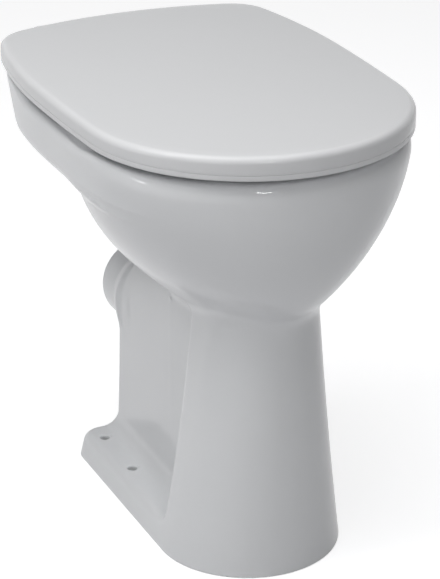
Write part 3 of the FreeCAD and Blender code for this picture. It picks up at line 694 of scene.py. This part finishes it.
# lid and seat: rings of points on one D-shaped outline
lidForm = {"rear": 250.0, "cornerRadius": 47.0, "rearRadius": 600.0, "bottom": 486.0, "top": 502.0, "crown": 3.0,
           "wall": 4.0, "edgeRound": 7.5, "lipRound": 0.25, "lipBand": 4.0, "innerRound": 3.0, "middle": -10.0,
           "around": 384, "core": 0.06, "topRings": 18, "edgeRings": 8, "underShare": 0.93, "underRings": 14,
           "notch": ((54.5, 100.5), (222.0, 262.0), (480.0, 498.0)), "notchRound": 1.5,
           "lug": (86.5, 99.0), "lugRoot": 224.0, "lugBottom": 488.0, "lugTop": 496.0, "rib": (14.0, 502.0)}
seatForm = {"bottom": 480.0, "lipTop": 485.8, "top": 495.0, "inset": 5.5, "rear": 215.0, "cornerRun": 14.0,
            "halfOpening": 108.0, "openingFront": -198.0, "openingRear": 80.0, "openingWidest": -45.0,
            "edgeRound": 5.0, "lipRound": 0.25, "lipUnder": 1.4, "underRound": 3.5, "stepEase": 0.4,
            "flankSteps": 150, "cornerSteps": 12, "backSteps": 30,
            "lug": (56.0, 68.5), "lugRoot": 207.0, "lugBottom": 484.0, "lugTop": 494.6}
hinge = {"y": 257.0, "z": 491.0, "barrel": 5.9, "bush": 4.8, "pin": 4.0, "solid": 7.5, "round": 0.5, "sides": 48,
         "lugEase": 0.1, "lugClear": 0.6, "lugRound": 1.0}


def crossing(c0, r0, c1, r1):
    gap = math.dist(c0, c1)
    along = (r0 ** 2 - r1 ** 2 + gap ** 2) / (2 * gap)
    across = math.sqrt(r0 ** 2 - along ** 2)
    ux, uy = (c1[0] - c0[0]) / gap, (c1[1] - c0[1]) / gap
    return c0[0] + along * ux - across * uy, c0[1] + along * uy + across * ux


def outlineArcs():
    # tangent arcs from the middle of the front to the middle of the back
    f, lower = lidForm, outline
    front = (0.0, lower["front"] + lower["frontRadius"])
    middle, flankRadius = flankArc()
    flank = (middle, lower["widest"])
    side = (lower["half"] - lower["sideRadius"], lower["widest"])
    back = (0.0, f["rear"] - f["rearRadius"])
    corner = crossing(side, lower["sideRadius"] - f["cornerRadius"], back, f["rearRadius"] - f["cornerRadius"])
    turn = math.atan2(front[1] - flank[1], front[0] - flank[0])
    enterCorner = math.atan2(corner[1] - side[1], corner[0] - side[0])
    leaveCorner = math.atan2(corner[1] - back[1], corner[0] - back[0])
    return [(front, lower["frontRadius"], -math.pi / 2, turn), (flank, flankRadius, turn, 0.0),
            (side, lower["sideRadius"], 0.0, enterCorner), (corner, f["cornerRadius"], enterCorner, leaveCorner),
            (back, f["rearRadius"], leaveCorner, math.pi / 2)]


def alongOutline(lengths, inset):
    # points at these lengths along the half outline, drawn in by the inset
    points = np.zeros((len(lengths), 2))
    start = 0.0
    for middle, radius, a0, a1 in outlineArcs():
        run = radius * (a1 - a0)
        here = lengths >= start - 1e-9
        angle = a0 + (lengths - start) / radius
        points[here] = np.stack([middle[0] + (radius - inset) * np.cos(angle),
                                 middle[1] + (radius - inset) * np.sin(angle)], 1)[here]
        start += run
    return points


def halfLength():
    return sum(radius * (a1 - a0) for _, radius, a0, a1 in outlineArcs())


def bothHalves(half):
    other = half[-2:0:-1] * np.array([-1.0, 1.0])
    return np.concatenate([half, other])


def lidRing(inset):
    return bothHalves(alongOutline(np.linspace(0, halfLength(), lidForm["around"] // 2 + 1), inset))


def raised(ring, height):
    return np.concatenate([ring, np.broadcast_to(np.asarray(height, float).reshape(-1, 1), (len(ring), 1))], 1)


def roundedBox(low, high, radius):
    shell = bmesh.new()
    bmesh.ops.create_cube(shell, size=1.0)
    low, high = Vector(low), Vector(high)
    for point in shell.verts:
        point.co = Vector([(a + b) / 2 + c * (b - a) for a, b, c in zip(low, high, point.co)])
    bmesh.ops.bevel(shell, geom=shell.edges[:], offset=radius, segments=3, profile=0.5, affect="EDGES")
    shell.verts.index_update()
    result = [tuple(p.co) for p in shell.verts], [tuple(v.index for v in face.verts) for face in shell.faces]
    shell.free()
    return result


def barrel(x0, x1):
    # hinge barrel with its bore, turned about the hinge's axis
    r = hinge["round"]
    outer, inner = hinge["barrel"], hinge["bush"]
    profile = [(x0, inner), (x0, outer - r), (x0 + 0.3 * r, outer - 0.3 * r), (x0 + r, outer),
               (x1 - r, outer), (x1 - 0.3 * r, outer - 0.3 * r), (x1, outer - r), (x1, inner)]
    count = hinge["sides"]
    points = []
    for x, radius in profile:
        for i in range(count):
            a = 2 * math.pi * i / count
            points.append((x, hinge["y"] + radius * math.cos(a), hinge["z"] + radius * math.sin(a)))
    return points, ringFaces(len(profile), count, True)


def lugShells(form):
    shells = []
    x0, x1 = form["lug"]
    for side in (-1, 1):
        a, b = sorted((side * x0, side * x1))
        shells.append(barrel(a, b))
        reach = hinge["y"] - hinge["bush"] - hinge["lugClear"]
        low, right = (a + hinge["lugEase"], form["lugRoot"], form["lugBottom"]), b - hinge["lugEase"]
        shells.append(roundedBox(low, (right, reach, form["lugTop"]), hinge["lugRound"]))
        if "rib" in form:
            run, top = form["rib"]
            shells.append(roundedBox(low, (right, form["lugRoot"] + run, top), hinge["lugRound"]))
    return shells


def crownHeight(x):
    f = lidForm
    radius = (outline["half"] ** 2 + f["crown"] ** 2) / (2 * f["crown"])
    return f["top"] + f["crown"] - radius + np.sqrt(radius ** 2 - x ** 2)


def lidShell():
    f = lidForm
    middle = np.array([0.0, f["middle"]])
    edge = lidRing(f["edgeRound"])
    rings = []
    for share in np.linspace(f["core"], 1.0, f["topRings"]):
        ring = middle + share * (edge - middle)
        rings.append(raised(ring, crownHeight(ring[:, 0])))
    for t in np.radians(np.linspace(90 / f["edgeRings"], 90, f["edgeRings"])):
        ring = lidRing(f["edgeRound"] * (1 - math.sin(t)))
        rings.append(raised(ring, crownHeight(edge[:, 0]) - f["edgeRound"] * (1 - math.cos(t))))
    rings.append(raised(lidRing(0.0), f["bottom"] + f["lipBand"]))
    for t in np.radians(np.linspace(0, 90, 5)):
        inset = f["lipRound"] * (1 - math.cos(t))
        rings.append(raised(lidRing(inset), f["bottom"] + f["lipRound"] * (1 - math.sin(t))))
    for t in np.radians(np.linspace(90, 0, 5)):
        inset = f["wall"] - f["lipRound"] * (1 - math.cos(t))
        rings.append(raised(lidRing(inset), f["bottom"] + f["lipRound"] * (1 - math.sin(t))))
    inner = lidRing(f["wall"] + f["innerRound"])
    under = crownHeight(inner[:, 0]) - f["wall"]
    for t in np.radians(np.linspace(0, 90, 6)):
        ring = lidRing(f["wall"] + f["innerRound"] * (1 - math.cos(t)))
        rings.append(raised(ring, under - f["innerRound"] * (1 - math.sin(t))))
    for share in np.linspace(f["underShare"], f["core"], f["underRings"]):
        ring = middle + share * (inner - middle)
        rings.append(raised(ring, crownHeight(ring[:, 0]) - f["wall"]))
    count = f["around"]
    points = np.concatenate(rings).tolist()
    faces = ringFaces(len(rings), count, False)
    points.append((0.0, f["middle"], f["top"] + f["crown"]))
    points.append((0.0, f["middle"], f["top"] + f["crown"] - f["wall"]))
    last = (len(rings) - 1) * count
    for i in range(count):
        j = (i + 1) % count
        faces.append((len(points) - 2, j, i))
        faces.append((len(points) - 1, last + i, last + j))
    return points, faces


def buildLid():
    cover = outwards(meshObject("lidCover", *lidShell(), thermoset))
    (x0, x1), (y0, y1), (z0, z1) = lidForm["notch"]
    notches = joined([roundedBox((left, y0, z0), (right, y1, z1), lidForm["notchRound"])
                      for left, right in ((-x1, -x0), (x0, x1))])
    cutAway(cover, outwards(meshObject("lidNotches", *notches, thermoset)))
    enter(cover, "lid", ["lid"], 35)
    lugs = outwards(meshObject("lidLugs", *joined(lugShells(lidForm)), thermoset))
    enter(lugs, "lid", ["lid"], 35)


def seatRing(inset, rearInset):
    # the outline down to a straight back, with its corners eased
    f = seatForm
    rear = f["rear"] - rearInset
    lengths = np.linspace(0, halfLength(), 4001)
    whole = alongOutline(lengths, inset)
    beyond = int(np.argmax(whole[:, 1] > rear))
    stop = lengths[beyond] - f["cornerRun"]
    flank = alongOutline(np.linspace(0, stop, f["flankSteps"]), inset)
    corner = whole[beyond]
    endX = corner[0] - f["cornerRun"]
    start = flank[-1]
    share = np.linspace(0, 1, f["cornerSteps"] + 1)[1:, None]
    bend = (1 - share) ** 2 * start + 2 * share * (1 - share) * corner + share ** 2 * np.array([endX, rear])
    back = np.stack([np.linspace(endX, 0.0, f["backSteps"] + 1)[1:], np.full(f["backSteps"], rear)], 1)
    return bothHalves(np.concatenate([flank, bend, back]))


def openingRing(outset, angles):
    f = seatForm
    half = f["halfOpening"] + outset
    behind, ahead = f["openingRear"] - f["openingWidest"], f["openingWidest"] - f["openingFront"]
    reach = np.where(np.sin(angles) > 0, behind, ahead)
    radius = 1 / np.hypot(np.cos(angles) / half, np.sin(angles) / (reach + outset))
    return np.stack([radius * np.cos(angles), f["openingWidest"] + radius * np.sin(angles)], 1)


def buildSeat():
    f = seatForm
    outer = seatRing(0.0, 0.0)
    angles = np.arctan2(outer[:, 1] - f["openingWidest"], outer[:, 0])
    lip, step, top, inset, ease = f["lipRound"], f["lipTop"], f["top"], f["inset"], f["stepEase"]
    rings = []
    low = f["lipUnder"]
    for t in np.radians(np.linspace(90, 0, 6)):
        ring = seatRing(low * (1 - math.cos(t)), low * (1 - math.cos(t)))
        rings.append(raised(ring, f["bottom"] + low * (1 - math.sin(t))))
    for t in np.radians(np.linspace(0, 90, 5)):
        rings.append(raised(seatRing(lip * (1 - math.cos(t)), 0.0), step - lip * (1 - math.sin(t))))
    for out, height in ((inset - ease, step), (inset, step + ease)):
        rings.append(raised(seatRing(out, 0.0), height))
    r = f["edgeRound"]
    for t in np.radians(np.linspace(0, 90, 8)):
        back = r * (1 - math.cos(t))
        rings.append(raised(seatRing(inset + back, back), top - r * (1 - math.sin(t))))
    edge = seatRing(inset + r, r)
    inner = openingRing(r, angles)
    for share in np.linspace(0, 1, 7)[1:]:
        rings.append(raised(edge + share * (inner - edge), top))
    for t in np.radians(np.linspace(90, 0, 8))[1:]:
        rings.append(raised(openingRing(r * (1 - math.cos(t)), angles), top - r * (1 - math.sin(t))))
    u = f["underRound"]
    for t in np.radians(np.linspace(0, 90, 6)):
        rings.append(raised(openingRing(u * (1 - math.cos(t)), angles), f["bottom"] + u * (1 - math.sin(t))))
    points = np.concatenate(rings).tolist()
    faces = ringFaces(len(rings), len(outer), True)
    ring = outwards(meshObject("seatBody", points, faces, thermoset))
    enter(ring, "seat", ["seat_ring"], 35)
    lugs = outwards(meshObject("seatLugs", *joined(lugShells(seatForm)), thermoset))
    enter(lugs, "seat", ["seat_ring"], 35)


buildLid()
buildSeat()
print("lid and seat made")

# small pieces: the solids with their edges eased
small = {
    "hinge_bracket": ("pan", "hinge_chrome", chrome, 0.6),
    "bracket_pad": ("pan", "grey_rubber", greyRubber, 0.25),
    "hinge_pin": ("pan", "pin_steel", steel, 0.4),
    "pin_clip": ("pan", "pin_steel", steel, 0.2),
    "seat_bolt": ("pan", "pin_steel", steel, 0.3),
    "bolt_sleeve": ("pan", "grey_rubber", greyRubber, 0.4),
    "bolt_washer": ("pan", "pin_steel", steel, 0.25),
    "wing_nut": ("pan", "nut_plastic", nutPlastic, 0.7),
    "seat_bush": ("seat", "bush_plastic", nutPlastic, 0.2),
    "lid_bush": ("lid", "bush_plastic", nutPlastic, 0.2),
    "seat_buffer": ("seat", "white_rubber", whiteRubber, 1.2),
    "lid_buffer": ("lid", "white_rubber", whiteRubber, 0.8),
}
easing = {"merge": 2e-6, "flat": 0.5, "sharp": 35.0, "segments": 2, "smooth": 40}
buffer = {"reach": 478.0, "taper": 0.6}    # below this height a seat buffer draws in and goes down to the rim
hingeStems = ("hinge_bracket", "hinge_pin", "pin_clip", "seat_bush", "lid_bush")


def slimmed(point):
    # the barrels about the pin are drawn slimmer than the solids, so that the lid hides them
    away = Vector((0.0, point.y - hinge["y"] * mm, point.z - hinge["z"] * mm))
    thick = away.length / mm - hinge["pin"]
    if 0.1 < thick < hinge["solid"] - hinge["pin"] + 0.1:
        share = (hinge["barrel"] - hinge["pin"]) / (hinge["solid"] - hinge["pin"])
        point -= away.normalized() * thick * (1 - share) * mm


def footed(points):
    # the free end of a seat buffer
    middle = sum((point.co for point in points), Vector()) / len(points)
    drop = pan["rimHeight"] - float(rimTop(middle.y / mm))
    for point in points:
        if point.co.z < buffer["reach"] * mm:
            point.co.x = middle.x + (point.co.x - middle.x) * buffer["taper"]
            point.co.y = middle.y + (point.co.y - middle.y) * buffer["taper"]
            point.co.z -= drop * mm


def easedNode(node, body, material, ease):
    shell = bmesh.new()
    shell.from_mesh(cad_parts[node].data)
    bmesh.ops.remove_doubles(shell, verts=shell.verts, dist=easing["merge"])
    flat, steep = math.radians(easing["flat"]), math.radians(easing["sharp"])
    bmesh.ops.dissolve_limit(shell, angle_limit=flat, verts=shell.verts, edges=shell.edges)
    sharp = [edge for edge in shell.edges if len(edge.link_faces) == 2 and edge.calc_face_angle() > steep]
    bmesh.ops.bevel(shell, geom=sharp, offset=ease * mm, segments=easing["segments"], profile=0.5, affect="EDGES",
                    clamp_overlap=True)
    if node.startswith(hingeStems):
        for point in shell.verts:
            slimmed(point.co)
    if node.startswith("seat_buffer"):
        footed(shell.verts[:])
    words = node.split("_")
    name = words[0] + "".join(word.capitalize() for word in words[1:])
    mesh = bpy.data.meshes.new(name)
    shell.to_mesh(mesh)
    shell.free()
    mesh.materials.append(material)
    piece = bpy.data.objects.new(name, mesh)
    scene.collection.objects.link(piece)
    enter(piece, body, [node], easing["smooth"])


for stem, (body, slot, material, ease) in small.items():
    for node in sorted(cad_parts):
        if node.startswith(stem):
            easedNode(node, body, material, ease)
print("small pieces eased")

# camera at the photo's angle
view = {"azimuth": -24.342, "elevation": 24.021, "distance": 2.55853, "target": (0.0, -0.0075, 0.24),
        "focal": 2316.955, "centre": (212.3, 304.1), "frame": (440.0, 579.0), "sensor": 36.0}


def addCamera():
    a = math.radians(view["azimuth"])
    e = math.radians(view["elevation"])
    back = Vector((math.sin(a) * math.cos(e), -math.cos(a) * math.cos(e), math.sin(e)))
    data = bpy.data.cameras.new("photoCamera")
    wide, tall = view["frame"]
    data.sensor_width = view["sensor"]
    data.lens = view["focal"] * view["sensor"] / tall
    data.shift_x = (wide / 2 - view["centre"][0]) / tall
    data.shift_y = (view["centre"][1] - tall / 2) / tall
    camera = bpy.data.objects.new("photoCamera", data)
    camera.location = Vector(view["target"]) + back * view["distance"]
    camera.rotation_euler = back.to_track_quat("Z", "Y").to_euler()
    scene.collection.objects.link(camera)
    scene.camera = camera


addCamera()

# studio: a floor that runs to white and rises far off, softboxes above and to the left, two small lamps for glints
studio = {"floor": (0.62, 0.62, 0.63), "floorTint": (0.59, 0.59, 0.605), "floorNoise": 3.0, "floorLift": 0.74,
          "floorRoughness": 0.95, "floorSpecular": 0.1, "floorReach": 60.0, "wallHeight": 15.0,
          "ambient": (0.97, 0.98, 1.0), "ambientStrength": 0.09, "aim": (0.0, 0.0, 0.3)}
lamps = {
    "topLamp": {"place": (-0.2, -0.3, 2.4), "size": (1.6, 1.6), "power": 22.0},
    "leftLamp": {"place": (-1.45, 0.1, 2.37), "size": (1.3, 1.3), "power": 20.0},
    "keyLamp": {"place": (-1.7, -1.5, 1.9), "size": (1.3, 1.3), "power": 5.0},
    "frontLamp": {"place": (-0.43, -2.46, 1.57), "size": (0.4, 0.3), "power": 10.0},
    "sideLamp": {"place": (-2.7, 0.15, 0.78), "size": (0.32, 0.24), "power": 4.0},
}


def addLamps():
    for name, spec in lamps.items():
        data = bpy.data.lights.new(name, "AREA")
        data.shape = "RECTANGLE"
        data.size, data.size_y = spec["size"]
        data.energy = spec["power"]
        lamp = bpy.data.objects.new(name, data)
        lamp.location = spec["place"]
        aim = Vector(spec["place"]) - Vector(studio["aim"])
        lamp.rotation_euler = aim.to_track_quat("Z", "Y").to_euler()
        scene.collection.objects.link(lamp)


def plainlySeen(tree):
    # 1 for what the camera, polished metal and clear pieces look at, 0 for the light that it gives off
    path = tree.nodes.new("ShaderNodeLightPath")
    kinds = ("Camera", "Glossy", "Transmission")
    camera, glossy, clear = [Wire(tree, path.outputs["Is %s Ray" % kind]) for kind in kinds]
    return camera.maths("MAXIMUM", camera, camera.maths("MAXIMUM", glossy, clear))


def addWorld():
    world = bpy.data.worlds.new("studio")
    scene.world = world
    world.use_nodes = True
    tree = world.node_tree
    shader = tree.nodes["Background"]
    plug(tree, shader.inputs["Color"], studio["ambient"])
    shader.inputs["Strength"].default_value = studio["ambientStrength"]


def addFloor():
    mesh = bpy.data.meshes.new("studioFloor")
    reach, wall = studio["floorReach"], studio["wallHeight"]
    square = [(-reach, -reach), (reach, -reach), (reach, reach), (-reach, reach)]
    points = [(x, y, z) for z in (0.0, wall) for x, y in square]
    mesh.from_pydata(points, [], [(0, 1, 2, 3)] + [(i, 4 + i, 4 + (i + 1) % 4, (i + 1) % 4) for i in range(4)])
    floor = bpy.data.objects.new("studioFloor", mesh)
    scene.collection.objects.link(floor)
    material, tree, shader, place = newMaterial("paleFloor")
    seen = plainlySeen(tree)
    pale = mixColour(noise(place, studio["floorNoise"]), studio["floor"], studio["floorTint"])
    plug(tree, shader.inputs["Base Color"], mixColour(seen, studio["floor"], pale))
    shader.inputs["Roughness"].default_value = studio["floorRoughness"]
    shader.inputs["Specular IOR Level"].default_value = studio["floorSpecular"]
    lift = (studio["floorLift"],) * 3
    plug(tree, shader.inputs["Emission Color"], mixColour(seen, (0.0, 0.0, 0.0), lift))
    shader.inputs["Emission Strength"].default_value = 1.0
    mesh.materials.append(material)


addLamps()
addWorld()
addFloor()
print("studio lit")
